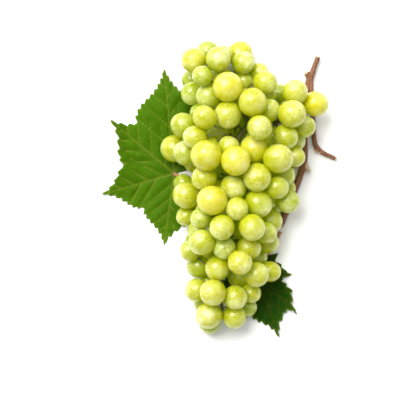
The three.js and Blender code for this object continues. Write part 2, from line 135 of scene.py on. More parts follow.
# A lobe's outline, by the share of its spread: how far its shoulders and flanks fall short of its tip, how
# wide the tip is and where the lobe ends. Around the junction the blade reaches HUB_REACH mm.
SHOULDER_DROP = 0.27
FLANK_DROP = 0.16
TIP_WIDTH = 0.2
LOBE_END = 1.35
HUB_REACH = 2.5

# A blade in mm: how high its upper side lies, how far from the junction its rise is full, and how far its
# puckers, waves and pale rim reach. The waves are counted once round the blade.
BLADE_BASE = 0.5
CURL_REACH = 62
PUCKER_REACH = 3.0
WAVE_REACH = 9.0
RIM_REACH = 0.5
WAVE_COUNT = 5

# Teeth along a blade's edge: their pitch and depth in mm, and the share of each that is its long side.
TOOTH_PITCH = 5.4
TOOTH_DEPTH = 1.9
TOOTH_LEAN = 0.75

# Spacing in mm of the points along a blade's edge and of those inside it.
OUTLINE_STEP = 0.45
GRID_STEP = 1.05

# Side veins leave a lobe's own vein at these shares of its length, in turn to the right and to the left. The
# half widths are in mm, at a vein's start and end.
SIDE_VEINS = (0.14, 0.24, 0.34, 0.44, 0.54, 0.63, 0.72, 0.8, 0.88)
SIDE_VEIN_ANGLE = 44
MAIN_HALF_WIDTHS = (0.6, 0.22)
SIDE_HALF_WIDTHS = (0.3, 0.12)

# The lights' places and the point that they face, the fill light's width and half the table's, where the
# camera stands in the drawing, in mm, and its sensor's width in mm and far limit.
KEY_PLACE = (-0.42, 0.5, 1.0)
FILL_PLACE = (-0.1, 0.5, 0.5)
LIT_POINT = (0, 0, 0.02)
FILL_SIZE = 0.9
TABLE_HALF = 3.0
CAMERA_PLACE = (-18.7, -7.7)
SENSOR_WIDTH = 36
VIEW_END = 20


# Settings --------------------


def number(name, description, default, **limits):
    return bpy.props.FloatProperty(name=name, description=description, default=default, **limits)


def length(name, description, default):
    return number(name, description, default, unit="LENGTH", precision=5)


def share(name, description, default):
    return number(name, description, default, min=0.0, max=4.0)


def colour(name, description, default):
    return bpy.props.FloatVectorProperty(
        name=name, description=description, default=default, subtype="COLOR", size=3, min=0.0, max=1.0
    )


class GrapeBerrySettings(bpy.types.PropertyGroup):
    """Sizes and colours of the berries."""

    plumpness: share("Plumpness", "Size of a berry against its solid", 1.035)
    ovalness: share("Ovalness", "Length of a berry against its width", 1.05)
    unevenness: length("Unevenness", "How far a berry's skin departs from smooth", 0.00018)
    young: colour("Young", "Skin of the least ripe berries", (0.24, 0.325, 0.009))
    usual: colour("Usual", "Skin of most berries", (0.415, 0.420, 0.003))
    ripe: colour("Ripe", "Skin of the ripest berries", (0.58, 0.515, 0.006))
    bloom: colour("Bloom", "The pale film on the skin", (0.80, 0.81, 0.46))
    bloom_cover: share("Bloom cover", "How much of the film is left", 0.85)
    # Painted glow: a faint emission that stands in for light coming through the flesh.
    painted_glow: colour("Inner light", "Light that has come through the flesh", (0.55, 0.85, 0.0))
    glow_depth: length("Glow depth", "How far light travels in the flesh", 0.0065)
    freckle: colour("Freckles", "Small brown spots", (0.22, 0.13, 0.02))
    scar: colour("Scar", "Where the flower dried off", (0.13, 0.08, 0.02))
    seat: colour("Seat", "Skin around the stem", (0.36, 0.36, 0.08))
    seed: bpy.props.IntProperty(name="Seed", description="Which berries are ripe", default=7)


class GrapeStalkSettings(bpy.types.PropertyGroup):
    """Sizes and colours of the stalk."""

    swell: length("Swell", "Growth of the solid's thin limbs", 0.00030)
    voxel: length("Grain size", "Detail that is kept", 0.00052)
    green: colour("Green", "Young limbs", (0.16, 0.23, 0.02))
    brown: colour("Brown", "Patches of older bark", (0.13, 0.085, 0.025))
    speck: colour("Specks", "Small corky specks", (0.12, 0.07, 0.03))


class GrapeCaneSettings(bpy.types.PropertyGroup):
    """Sizes and colours of the cane."""

    voxel: length("Grain size", "Detail that is kept", 0.00045)
    furrow: length("Furrow depth", "Depth of the bark's furrows", 0.00022)
    light: colour("Light bark", "Bark on the ridges", (0.30, 0.115, 0.038))
    dark: colour("Dark bark", "Bark in the furrows", (0.09, 0.032, 0.014))
    patch: colour("Patches", "Broad duller patches of bark", (0.20, 0.085, 0.05))
    speck: colour("Specks", "Small dark specks", (0.06, 0.03, 0.02))
    cut: colour("Cut wood", "Wood at a cut end", (0.62, 0.47, 0.28))
    grain: colour("Grain", "Darker grain in the cut wood", (0.34, 0.22, 0.12))
    pith: colour("Pith", "The middle of a cut end", (0.16, 0.08, 0.04))


class GrapeLeafSettings(bpy.types.PropertyGroup):
    """Sizes and colours of the leaves."""

    thickness: length("Thickness", "Thickness of a blade", 0.00045)
    pucker: length("Pucker", "How far the blade rises between its veins", 0.0011)
    groove: length("Groove", "How deep the veins lie in the blade", 0.0005)
    wave: length("Wave", "How far the edge waves", 0.0022)
    large_blade: colour("Large blade", "The blade beside the bunch", (0.034, 0.092, 0.0005))
    # A darker green than the large blade's: painted shade from the bunch lying over this leaf.
    small_blade: colour("Small blade", "The blade under the bunch's tail", (0.0068, 0.036, 0.0003))
    vein: colour("Veins", "The veins", (0.19, 0.25, 0.02))
    rim: colour("Rim", "The very edge of a blade", (0.26, 0.36, 0.03))
    speck: colour("Specks", "Small brown specks on a blade", (0.16, 0.11, 0.03))
    petiole: colour("Petiole", "A leaf's stem", (0.55, 0.23, 0.16))
    petiole_radius: length("Petiole radius", "Half the width of a leaf's stem", 0.00095)


class GrapeStageSettings(bpy.types.PropertyGroup):
    """The table, the lights and the camera."""

    floor: colour("Table", "The table's colour", (0.93, 0.93, 0.93))
    key_power: number("Key light", "Power of the main light", 3.1)
    key_width: number("Key width", "Its spread in degrees", 38.0)
    fill_power: number("Fill light", "Power of the fill light", 4.4)
    sky: number("Sky", "Strength of the light all round", 0.6)
    height: length("Camera height", "Camera above the table", 1.4)
    lens: number("Lens", "Focal length", 183.0, subtype="DISTANCE_CAMERA")


# Node helpers --------------------


class Tree:
    """A node tree that is being built."""

    def __init__(self, tree):
        self.tree = tree
        self.tree.nodes.clear()

    def put(self, value, socket):
        """Links a socket's value to another socket, or sets a plain value there."""
        if isinstance(value, bpy.types.NodeSocket):
            self.tree.links.new(value, socket)
        else:
            socket.default_value = value

    def add(self, kind, inputs=None, **settings):
        """A new node with its settings made and its inputs set or linked."""
        node = self.tree.nodes.new(kind)
        for key, value in settings.items():
            setattr(node, key, value)
        for key, value in (inputs or {}).items():
            self.put(value, node.inputs[key])
        return node

    def math(self, operation, a, b=0.0, c=0.0):
        return self.add("ShaderNodeMath", {0: a, 1: b, 2: c}, operation=operation).outputs[0]

    def vector(self, operation, a, b=(0.0, 0.0, 0.0)):
        return self.add("ShaderNodeVectorMath", {0: a, 1: b}, operation=operation).outputs["Vector"]

    def scaled(self, vector, factor):
        """A vector made longer by a factor."""
        inputs = {0: vector, "Scale": factor}
        return self.add("ShaderNodeVectorMath", inputs, operation="SCALE").outputs["Vector"]

    def combined(self, x=0.0, y=0.0, z=0.0):
        """A vector from its three parts."""
        return self.add("ShaderNodeCombineXYZ", {0: x, 1: y, 2: z}).outputs[0]

    def parts(self, vector):
        """A vector's parts, by the names X, Y and Z."""
        return self.add("ShaderNodeSeparateXYZ", {0: vector}).outputs

    def mix(self, factor, a, b):
        """The first colour where the factor is 0 and the second where it is 1."""
        return self.add("ShaderNodeMix", {0: factor, 6: a, 7: b}, data_type="RGBA").outputs[2]

    def over(self, under, colour, mask, strength):
        """A colour with another one laid over it by a mask, as strongly as is said."""
        return self.mix(self.math("MULTIPLY", mask, strength), under, rgba(colour))

    def span(self, value, low, high, to_low=0.0, to_high=1.0):
        """A value that runs from low to high, as one that runs from to_low to to_high and stays there."""
        numbers = {"Value": value, "From Min": low, "From Max": high, "To Min": to_low, "To Max": to_high}
        return self.add("ShaderNodeMapRange", numbers, clamp=True).outputs[0]

    def noise(self, vector, scale, detail=3.0, distortion=0.0):
        """Soft noise around 0.5."""
        numbers = {"Scale": scale, "Detail": detail, "Roughness": 0.55, "Distortion": distortion}
        return self.add("ShaderNodeTexNoise", {"Vector": vector, **numbers}).outputs["Fac"]

    def attribute(self, name, output="Fac"):
        """A value that the mesh's points hold."""
        return self.add("ShaderNodeAttribute", attribute_name=name).outputs[output]

    def place(self):
        """Where a point is in its object, in metres."""
        return self.add("ShaderNodeTexCoord").outputs["Object"]


def rgba(value):
    return (*value, 1.0)


def new_group(name, kind, inputs, output):
    """An empty node group with its named sockets: the group, its tree and what is given to it."""
    group = bpy.data.node_groups.new(name, kind)
    for label, socket_kind, default in inputs:
        socket = group.interface.new_socket(label, in_out="INPUT", socket_type=socket_kind)
        if default is not None:
            socket.default_value = default
    group.interface.new_socket(output[0], in_out="OUTPUT", socket_type=output[1])
    t = Tree(group)
    return group, t, t.add("NodeGroupInput").outputs


def mask_group(name, **numbers):
    """An empty shader group that turns a place and some numbers into a mask."""
    inputs = [(socket_label(key), "NodeSocketFloat", value) for key, value in numbers.items()]
    vector = ("Vector", "NodeSocketVector", None)
    return new_group(name, "ShaderNodeTree", [vector, *inputs], ("Mask", "NodeSocketFloat"))


def socket_label(key):
    return key.replace("_", " ").title()


def mottling_group():
    """Soft patches at two scales, from 0 to 1."""
    group, t, given = mask_group("Mottling", patch_scale=100.0, contrast=0.5)
    broad = t.noise(given["Vector"], given["Patch Scale"], detail=2.0)
    fine = t.noise(given["Vector"], t.math("MULTIPLY", given["Patch Scale"], 5.0))
    both = t.math("ADD", t.math("MULTIPLY", broad, 0.68), t.math("MULTIPLY", fine, 0.32))
    low = t.math("MULTIPLY", t.math("SUBTRACT", 1.0, given["Contrast"]), 0.5)
    high = t.math("SUBTRACT", 1.0, low)
    t.add("NodeGroupOutput", {"Mask": t.span(both, low, high)})
    return group


def freckle_group():
    """Sparse small round spots, 1 in a spot and 0 elsewhere."""
    group, t, given = mask_group("Freckles", spacing_scale=300.0, spot_size=0.1, rarity=0.8)
    cells = t.add("ShaderNodeTexVoronoi", {"Vector": given["Vector"], "Scale": given["Spacing Scale"]})
    chance = t.add("ShaderNodeSeparateColor", {0: cells.outputs["Color"]}).outputs[0]
    chosen = t.math("GREATER_THAN", chance, given["Rarity"])
    size = t.math("MULTIPLY", given["Spot Size"], t.math("ADD", 0.5, chance))
    inside = t.span(cells.outputs["Distance"], size, t.math("MULTIPLY", size, 0.55))
    t.add("NodeGroupOutput", {"Mask": t.math("MULTIPLY", inside, chosen)})
    return group


def place_group(t, name, vector, **numbers):
    """A shared group's mask in a material. The group is made the first time that it is asked for."""
    makers = {"Mottling": mottling_group, "Freckles": freckle_group}
    group = bpy.data.node_groups.get(name) or makers[name]()
    node = t.add("ShaderNodeGroup", node_tree=group)
    t.put(vector, node.inputs["Vector"])
    for key, value in numbers.items():
        t.put(value, node.inputs[socket_label(key)])
    return node.outputs["Mask"]


def mottling(t, where, scale, contrast):
    return place_group(t, "Mottling", where, patch_scale=scale, contrast=contrast)


def freckles(t, where, scale, size, rarity):
    return place_group(t, "Freckles", where, spacing_scale=scale, spot_size=size, rarity=rarity)


def new_material(name):
    material = bpy.data.materials.new(name)
    material.use_nodes = True
    return material, Tree(material.node_tree)


def close_material(t, inputs, bumps=()):
    """The material's shader and its output. Each of the bumps is a height, a strength and a distance."""
    normal = None
    for height, strength, distance in bumps:
        bump = t.add("ShaderNodeBump", {"Height": height, "Strength": strength, "Distance": distance})
        if normal:
            t.tree.links.new(normal, bump.inputs["Normal"])
        normal = bump.outputs["Normal"]
    if normal:
        inputs = {**inputs, "Normal": normal}
    shader = t.add("ShaderNodeBsdfPrincipled", inputs)
    t.add("ShaderNodeOutputMaterial", {"Surface": shader.outputs["BSDF"]})


# Materials --------------------


def lengthwise_veins(t, local, ripeness):
    """Faint wandering lines from a berry's stem end to its scar, other ones for another ripeness."""
    parts = t.parts(local)
    around = t.math("ARCTAN2", parts["Y"], parts["X"])
    shifted = t.vector("ADD", local, t.combined(x=t.math("MULTIPLY", ripeness, 40.0)))
    wander = t.math("MULTIPLY", t.noise(shifted, 2.2), 3.2)
    wave = t.math("ABSOLUTE", t.math("SINE", t.math("ADD", t.math("MULTIPLY", around, 4.5), wander)))
    fade = t.span(t.math("ABSOLUTE", parts["Z"]), 0.95, 0.6)
    return t.math("MULTIPLY", t.span(wave, 0.4, 0.0), fade)


def green_streaks(t, local, ripeness):
    """Soft streaks along a berry, other ones for another ripeness."""
    stretched = t.vector("MULTIPLY", t.vector("NORMALIZE", local), (5.0, 5.0, 1.1))
    shifted = t.vector("ADD", stretched, t.combined(z=t.math("MULTIPLY", ripeness, 90.0)))
    return t.span(t.noise(shifted, 1.6, detail=2.0, distortion=0.4), 0.5, 0.72)


def bloom_and_painted_light(t, where, height, ripeness, cover):
    """Where the pale bloom lies: in patches, and less of it on a ripe berry. Its gathering towards the scar's
    end, the side that faces up and out, is painted light.
    """
    patches = t.span(mottling(t, where, 120.0, 0.6), 0.34, 0.86)
    # Paler towards the scar's end, the side that faces up and out: painted light over the real patches of
    # bloom.
    film_and_painted_light = t.math("MULTIPLY", patches, t.span(height, 0.05, -0.85))
    return t.math("MULTIPLY", film_and_painted_light, t.span(ripeness, 0.5, 1.0, cover, 0.5 * cover))


def berry_material(look):
    """Thin glossy skin with a patchy bloom that is paler towards the scar's end as painted light, faint
    lengthwise veins and a few freckles, over flesh with a faint painted glow.
    """
    material, t = new_material("berry skin")
    where = t.place()
    local = t.attribute("ball_place", "Vector")
    ripeness = t.attribute("ripeness")
    height = t.parts(local)["Z"]
    streaks = green_streaks(t, local, ripeness)
    film_and_painted_light = bloom_and_painted_light(t, where, height, ripeness, look.bloom_cover)
    skin = t.mix(t.span(ripeness, 0.0, 0.45), rgba(look.young), rgba(look.usual))
    skin = t.mix(t.span(ripeness, 0.55, 1.0), skin, rgba(look.ripe))
    skin = t.over(skin, look.ripe, mottling(t, where, 110.0, 0.62), 0.22)
    skin = t.over(skin, look.young, streaks, 0.4)
    skin = t.over(skin, look.bloom, lengthwise_veins(t, local, ripeness), 0.14)
    # The bloom: partly the real pale wax, partly painted light towards the scar's end.
    skin = t.mix(film_and_painted_light, skin, rgba(look.bloom))
    skin = t.over(skin, look.freckle, freckles(t, where, 260.0, 0.11, 0.86), 0.55)
    skin = t.over(skin, look.scar, t.span(height, -0.9945, -0.998), 0.8)
    skin = t.over(skin, look.seat, t.span(height, 0.93, 0.99), 0.45)
    roughness = t.math("MULTIPLY_ADD", film_and_painted_light, 0.3, 0.27)
    grain = t.noise(where, 900.0, detail=2.0)
    close_material(
        t,
        {
            "Base Color": skin,
            "Roughness": roughness,
            "IOR": 1.38,
            "Specular IOR Level": 0.85,
            "Subsurface Weight": 0.9,
            "Subsurface Radius": (1.0, 0.86, 0.20),
            "Subsurface Scale": look.glow_depth,
            "Subsurface Anisotropy": 0.3,
            "Coat Weight": 0.4,
            "Coat Roughness": 0.2,
            "Coat IOR": 1.4,
            # A faint painted glow, standing in for light that comes through the flesh.
            "Emission Color": rgba(look.painted_glow),
            "Emission Strength": 0.065,
        },
        [(streaks, 0.15, 0.0002), (grain, 0.12, 0.00012)],
    )
    return material


def stalk_material(look):
    """Green limbs that turn brown and corky here and there."""
    material, t = new_material("stalk")
    where = t.place()
    bark = t.mix(mottling(t, where, 60.0, 0.8), rgba(look.green), rgba(look.brown))
    bark = t.over(bark, look.speck, freckles(t, where, 900.0, 0.25, 0.6), 0.6)
    close_material(
        t,
        {"Base Color": bark, "Roughness": 0.55, "Subsurface Weight": 0.15, "Subsurface Scale": 0.001},
        [(t.noise(where, 700.0), 0.4, 0.0004)],
    )
    return material


def cane_material(look):
    """Fibrous bark with long furrows, duller patches and dark specks, and raw wood where it was cut."""
    material, t = new_material("cane bark")
    where = t.place()
    furrows = t.noise(t.vector("MULTIPLY", where, (1.0, 0.09, 1.0)), 1100.0, detail=4.0, distortion=0.3)
    bark = t.mix(t.span(furrows, 0.36, 0.62), rgba(look.dark), rgba(look.light))
    bark = t.over(bark, look.patch, mottling(t, where, 45.0, 0.75), 0.45)
    bark = t.over(bark, look.speck, freckles(t, where, 700.0, 0.22, 0.7), 0.5)
    wood = t.over(rgba(look.cut), look.grain, t.span(t.noise(where, 2600.0), 0.35, 0.65), 0.35)
    wood = t.mix(t.attribute("pith"), wood, rgba(look.pith))
    surface = t.mix(t.attribute("cut"), bark, wood)
    close_material(
        t,
        {"Base Color": surface, "Roughness": t.span(furrows, 0.3, 0.7, 0.72, 0.5)},
        [(furrows, 0.7, 0.0006), (t.noise(where, 1800.0), 0.3, 0.0003)],
    )
    return material


def blade_material(name, look, green, vein_tone_and_painted_shade):
    """A thin leathery blade: pale veins, a mesh of fine veinlets and softly mottled green between them."""
    material, t = new_material(name)
    where = t.place()
    cells = t.add("ShaderNodeTexVoronoi", {"Vector": where, "Scale": 420.0}, feature="DISTANCE_TO_EDGE")
    veinlets = t.span(cells.outputs["Distance"], 0.10, 0.0)
    patches = mottling(t, where, 70.0, 0.7)
    light = tuple(1.75 * c for c in green)
    # The veins' colour; on the leaf under the bunch it is darkened as painted shade.
    pale = tuple(vein_tone_and_painted_shade * c for c in look.vein)
    blade = t.mix(patches, rgba(green), rgba(light))
    blade = t.over(blade, pale, veinlets, 0.2)
    blade = t.over(blade, look.rim, t.attribute("rim"), 0.35)
    blade = t.over(blade, look.speck, freckles(t, where, 240.0, 0.12, 0.88), 0.6)
    close_material(
        t,
        {
            "Base Color": t.mix(t.attribute("vein"), blade, rgba(pale)),
            "Roughness": t.span(patches, 0.0, 1.0, 0.42, 0.58),
            "Specular IOR Level": 0.03,
            "Subsurface Weight": 0.12,
            "Subsurface Radius": (0.5, 1.0, 0.1),
            "Subsurface Scale": 0.0012,
        },
        [(veinlets, 0.35, -0.0003), (t.noise(where, 900.0), 0.25, 0.0003)],
    )
    return material


def petiole_material(look):
    """A smooth reddish stem with greener patches and fine lines."""
    material, t = new_material("petiole")
    where = t.place()
    skin = t.over(rgba(look.petiole), look.vein, mottling(t, where, 90.0, 0.7), 0.5)
    lines = t.noise(t.vector("MULTIPLY", where, (0.1, 1.0, 1.0)), 1500.0)
    close_material(
        t,
        {"Base Color": skin, "Roughness": 0.42, "Subsurface Weight": 0.2, "Subsurface Scale": 0.0015},
        [(lines, 0.25, 0.0003)],
    )
    return material


def table_material(look):
    """A matt white that is hardly darker in some places than in others."""
    material, t = new_material("table")
    darker = tuple(0.985 * c for c in look.floor)
    tint = t.mix(t.noise(t.place(), 3.0), rgba(look.floor), rgba(darker))
    close_material(t, {"Base Color": tint, "Roughness": 0.6})
    return material


# Mesh helpers --------------------


def show(obj):
    bpy.context.scene.collection.objects.link(obj)
    return obj


def mesh_object(name, vertices, faces, smooth=True):
    mesh = bpy.data.meshes.new(name)
    mesh.from_pydata([tuple(v) for v in vertices], [], [tuple(f) for f in faces])
    mesh.validate()
    if smooth:
        mesh.shade_smooth()
    return show(bpy.data.objects.new(name, mesh))


def set_attribute(mesh, name, values, kind="FLOAT"):
    attribute = mesh.attributes.new(name, kind, "POINT")
    field = "vector" if kind == "FLOAT_VECTOR" else "value"
    attribute.data.foreach_set(field, np.asarray(values, dtype=np.float32).ravel())


def settle(obj, name):
    """The object as a plain mesh object with its modifiers' result in its mesh."""
    graph = bpy.context.evaluated_depsgraph_get()
    mesh = bpy.data.meshes.new_from_object(obj.evaluated_get(graph))
    mesh.name = name
    made = show(bpy.data.objects.new(name, mesh))
    old = obj.data
    bpy.data.objects.remove(obj)
    (bpy.data.curves if isinstance(old, bpy.types.Curve) else bpy.data.meshes).remove(old)
    return made


def welded(mesh):
    """A mesh to work on, with its loose triangles joined."""
    work = bmesh.new()
    work.from_mesh(mesh)
    bmesh.ops.remove_doubles(work, verts=work.verts, dist=WELD)
    return work


def welded_copy(node_name, name):
    """A copy of a CAD node with its loose triangles joined."""
    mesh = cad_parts[node_name].data.copy()
    work = welded(mesh)
    work.to_mesh(mesh)
    work.free()
    mesh.materials.clear()
    return show(bpy.data.objects.new(name, mesh))


def points_of(mesh):
    """A mesh's points, one in each row."""
    found = np.empty(len(mesh.vertices) * 3)
    mesh.vertices.foreach_get("co", found)
    return found.reshape(-1, 3)


def paint(obj, material):
    """Gives an object one material and smooth shading."""
    obj.data.materials.clear()
    obj.data.materials.append(material)
    obj.data.shade_smooth()


def finish_piece(obj, slot, *nodes):
    """Hangs a finished piece on the body's empty and hides the CAD nodes that it replaces."""
    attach(obj, BODY)
    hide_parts(*nodes)
    obj.data.update()


def settings(context):
    return context.scene.grapes


# Berries --------------------


def ball_through(corners):
    """Centre and radius of the ball through four corners, in mm, or None where they lie in a plane."""
    first, *others = corners
    rows = Matrix([2 * (p - first) for p in others])
    if abs(rows.determinant()) < 0.5:
        return None
    sums = Vector([p.length_squared - first.length_squared for p in others])
    centre = rows.inverted() @ sums
    return centre, (first - centre).length


def fitted_balls(node_name):
    """Centre and radius in mm of each faceted ball in a CAD node.

    Two facets that share an edge have four corners, and one ball goes through them. Facets of the same ball
    give the same answer, and those where a ball was cut or joined give scattered ones.
    """
    work = welded(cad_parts[node_name].data)
    votes = []
    for edge in work.edges:
        corners = {v for face in edge.link_faces for v in face.verts}
        found = ball_through([v.co / MM for v in corners]) if len(corners) == 4 else None
        if found and BALL_RADII[0] < found[1] < BALL_RADII[1]:
            votes.append(found)
    work.free()
    balls = []
    while votes:
        tried = votes[:: max(1, len(votes) // MOST_TRIED)]
        groups = [[v for v in votes if (v[0] - middle[0]).length < FIT_GRID] for middle in tried]
        largest = max(groups, key=len)
        if len(largest) < LEAST_VOTES:
            break
        centre = sum((v[0] for v in largest), Vector()) / len(largest)
        radius = sum(v[1] for v in largest) / len(largest)
        balls.append((centre, radius))
        votes = [v for v in votes if (v[0] - centre).length > 2 * FIT_GRID]
    return balls


def stem_direction(centre, radius, stalk_points):
    """The way from a berry's centre to where the stalk meets it."""
    away = stalk_points - np.array(centre)
    distances = np.linalg.norm(away, axis=1)
    misses = np.abs(distances - radius - SEAT_GAP)
    seat = np.argmin(misses)
    chosen = seat if misses[seat] < SEAT_SLACK else np.argmin(distances)
    return Vector(away[chosen]).normalized()


def ball_points():
    """The points of a ball of radius 1: rows from +Z to -Z, then the top and the bottom."""
    rows = []
    for i in range(1, BERRY_ROWS):
        tilt = math.pi * i / BERRY_ROWS
        for k in range(BERRY_SEGMENTS):
            turn = 2 * math.pi * k / BERRY_SEGMENTS
            rows.append((math.sin(tilt) * math.cos(turn), math.sin(tilt) * math.sin(turn), math.cos(tilt)))
    return np.array([*rows, (0.0, 0.0, 1.0), (0.0, 0.0, -1.0)])


def ball_faces():
    """The faces between those points."""
    faces = []
    last = (BERRY_ROWS - 2) * BERRY_SEGMENTS
    top = last + BERRY_SEGMENTS
    for k in range(BERRY_SEGMENTS):
        after = (k + 1) % BERRY_SEGMENTS
        faces += [(top, k, after), (top + 1, last + after, last + k)]
        for low in range(0, last, BERRY_SEGMENTS):
            high = low + BERRY_SEGMENTS
            faces.append((low + k, high + k, high + after, low + after))
    return faces


def berry_pattern(look):
    """One berry of radius 1 with its stem end at +Z: a dent there, and one where the flower dried off."""
    ball = ball_points()
    across = np.hypot(ball[:, 0], ball[:, 1])
    seat = np.where(ball[:, 2] > 0, SEAT_DEPTH * np.exp(-((across / SEAT_WIDTH) ** 2)), 0.0)
    scar = np.where(ball[:, 2] < 0, SCAR_DEPTH * np.exp(-((across / SCAR_WIDTH) ** 2)), 0.0)
    shaped = ball * np.array([1.0, 1.0, look.ovalness])
    shaped[:, 2] += scar - seat
    pattern = mesh_object("berry_pattern", shaped, ball_faces())
    set_attribute(pattern.data, "ball_place", ball, "FLOAT_VECTOR")
    return pattern


def surface_group(name, *labels):
    """An empty geometry node group that takes a geometry and some numbers, and gives a geometry."""
    inputs = [(label, "NodeSocketFloat", 0.0) for label in labels]
    geometry = ("Geometry", "NodeSocketGeometry")
    return new_group(name, "GeometryNodeTree", [(*geometry, None), *inputs], geometry)


def hand_out(t, geometry, material):
    """Ends a geometry node group with the geometry painted and smooth."""
    painted = t.add("GeometryNodeSetMaterial", {"Geometry": geometry, "Material": material}).outputs[0]
    smooth = t.add("GeometryNodeSetShadeSmooth", {"Geometry": painted}).outputs[0]
    t.add("NodeGroupOutput", {0: smooth})


def berry_turn(t, stem, spin):
    """Turns a berry's +Z to its stem and then turns it around that."""
    aimed = t.add("FunctionNodeAlignRotationToVector", {"Vector": stem}, axis="Z").outputs[0]
    around = t.add("FunctionNodeEulerToRotation", {0: t.combined(z=spin)}).outputs[0]
    both = t.add("FunctionNodeRotateRotation", {0: aimed, 1: around}, rotation_space="LOCAL")
    return both.outputs[0]


def berry_tree(pattern, material):
    """Geometry nodes that put a berry on each point, shake its skin a little and stop it at the table."""
    tree, t, given = surface_group("Berries", "Plumpness", "Unevenness")

    def held(name, kind="FLOAT"):
        return t.add("GeometryNodeInputNamedAttribute", {"Name": name}, data_type=kind).outputs["Attribute"]

    radius = t.math("MULTIPLY", held("ball_radius"), given["Plumpness"])
    placed = t.add(
        "GeometryNodeInstanceOnPoints",
        {
            "Points": given["Geometry"],
            "Instance": t.add("GeometryNodeObjectInfo", {"Object": pattern}).outputs["Geometry"],
            "Rotation": berry_turn(t, held("stem", "FLOAT_VECTOR"), held("spin")),
            "Scale": t.scaled(held("shape", "FLOAT_VECTOR"), radius),
        },
    ).outputs[0]
    real = t.add("GeometryNodeRealizeInstances", {0: placed}).outputs[0]
    place = t.add("GeometryNodeInputPosition").outputs[0]
    normal = t.add("GeometryNodeInputNormal").outputs[0]
    bumps = t.math("SUBTRACT", t.noise(place, 95.0, detail=1.0), 0.5)
    rise = t.math("MULTIPLY", bumps, t.math("MULTIPLY", given["Unevenness"], 4.0))
    shake = t.scaled(normal, rise)
    shaken = t.add("GeometryNodeSetPosition", {"Geometry": real, "Offset": shake}).outputs[0]
    parts = t.parts(place)
    floored = t.combined(parts["X"], parts["Y"], t.math("MAXIMUM", parts["Z"], TABLE_GAP))
    resting = t.add("GeometryNodeSetPosition", {"Geometry": shaken, "Position": floored}).outputs[0]
    hand_out(t, resting, material)
    return tree


def run_tree(obj, tree, **values):
    """Puts a geometry node tree on an object with its named inputs set."""
    modifier = obj.modifiers.new(tree.name, "NODES")
    modifier.node_group = tree
    for item in tree.interface.items_tree:
        key = item.name.lower().replace(" ", "_")
        if item.item_type == "SOCKET" and item.in_out == "INPUT" and key in values:
            modifier[item.identifier] = values[key]


def berry_ripeness(centres, radii, random):
    """How ripe each berry is, from 0 to 1."""
    size_share = (radii - radii.min()) / (radii.max() - radii.min())
    height_share = centres[:, 2] / centres[:, 2].max()
    chance = random.normal(*RIPE_BY_CHANCE, len(radii))
    ripeness = np.clip(RIPE_BY_SIZE * size_share + RIPE_BY_HEIGHT * height_share + chance, 0.0, RIPE_LIMIT)
    for place, ripe in RIPEST.items():
        away = np.linalg.norm(centres[:, :2] / MM - place - np.array(DRAWING_ORIGIN[:2]), axis=1)
        ripeness[np.argmax(centres[:, 2] * (away < RIPEST_REACH))] = ripe
    return ripeness


class OBJECT_OT_grape_berries(bpy.types.Operator):
    """Make every berry of the bunch from the balls in the solids"""

    bl_idname = "object.grape_berries"
    bl_label = "Berries"

    def execute(self, context):
        look = settings(context).berries
        random = np.random.default_rng(look.seed)
        stalk_points = points_of(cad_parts["stalk"].data) / MM
        balls = [ball for name in BERRY_NODES for ball in fitted_balls(name)]
        if len(balls) < len(BERRY_NODES):
            raise RuntimeError("some solids hold no ball")
        centres = np.array([centre for centre, _ in balls]) * MM
        radii = np.array([radius for _, radius in balls])
        stems = [stem_direction(centre, radius, stalk_points) for centre, radius in balls]
        ripeness = berry_ripeness(centres, radii, random)
        shape = 1 + random.normal(0, SHAPE_SPREAD, (len(balls), 3))
        points = mesh_object("berry_points", centres, [])
        set_attribute(points.data, "ball_radius", radii * MM)
        set_attribute(points.data, "stem", stems, "FLOAT_VECTOR")
        set_attribute(points.data, "shape", shape, "FLOAT_VECTOR")
        set_attribute(points.data, "spin", random.uniform(0, 2 * math.pi, len(balls)))
        set_attribute(points.data, "ripeness", ripeness)
        pattern = berry_pattern(look)
        tree = berry_tree(pattern, berry_material(look))
        run_tree(points, tree, plumpness=look.plumpness, unevenness=look.unevenness)
        berries = settle(points, "berry_skins")
        bpy.data.objects.remove(pattern)
        finish_piece(berries, "berry", *BERRY_NODES)
        return {"FINISHED"}


# Stalk --------------------


def rounded_limbs(obj, swell, voxel, smoothing, keep):
    """Grows an object's surface, then gives it one even rounded skin."""
    if swell:
        obj.modifiers.new("swell", "DISPLACE").strength = swell
    remesh = obj.modifiers.new("skin", "REMESH")
    remesh.mode = "VOXEL"
    remesh.voxel_size = voxel
    remesh.use_smooth_shade = True
    smooth = obj.modifiers.new("smooth", "SMOOTH")
    smooth.factor = 0.5
    smooth.iterations = smoothing
    if keep < 1:
        obj.modifiers.new("thin", "DECIMATE").ratio = keep


class OBJECT_OT_grape_stalk(bpy.types.Operator):
    """Make the branched stalk that the berries grow on"""

    bl_idname = "object.grape_stalk"
    bl_label = "Stalk"

    def execute(self, context):
        look = settings(context).stalk
        rough = welded_copy("stalk", "stalk_rough")
        rounded_limbs(rough, look.swell, look.voxel, 3, 0.6)
        stalk = settle(rough, "stalk_limbs")
        paint(stalk, stalk_material(look))
        finish_piece(stalk, "stalk", "stalk")
        return {"FINISHED"}


# Cane --------------------


def cut_ends(obj):
    """Centre and outward direction of each flat end of a limb: a corner whose facets all face one way."""
    work = bmesh.new()
    work.from_mesh(obj.data)
    work.normal_update()
    found = []
    for corner in work.verts:
        faces = corner.link_faces
        alike = all(face.normal.dot(faces[0].normal) > 0.9995 for face in faces)
        if len(faces) >= 5 and alike:
            found.append((corner.co.copy(), faces[0].normal.copy()))
    work.free()
    return found


